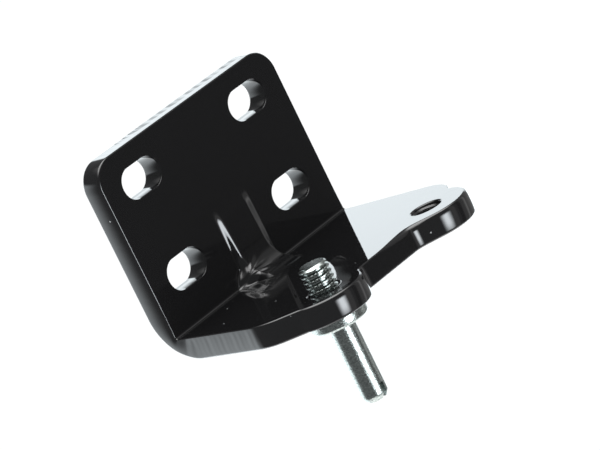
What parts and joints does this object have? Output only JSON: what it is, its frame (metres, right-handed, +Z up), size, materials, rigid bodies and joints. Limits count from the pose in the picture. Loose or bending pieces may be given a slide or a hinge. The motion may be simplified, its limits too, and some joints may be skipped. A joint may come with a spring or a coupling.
{
  "type": "appliance door hinge bracket",
  "caption": "Black enamelled folded steel hinge bracket with slotted mounting holes and a screwed, zinc plated hinge pin.",
  "frame": {"origin": "centre of the pattern of four slots, on the bracket's back face, where it lies against the cabinet", "axes": "+X along the long way of the slots, +Y out of the back face towards the cabinet, +Z up along the plate; the shelf reaches towards -Y and the hinge pin points towards -Z"},
  "size_m": [0.0774, 0.0581, 0.0793],
  "materials": {
    "black_enamel": "gloss",
    "zinc_plated_steel": "zinc plated, semi-gloss"
  },
  "bodies": {
    "root": {"bracket": "black_enamel", "hinge_pin": "zinc_plated_steel"}
  },
  "joints": []
}
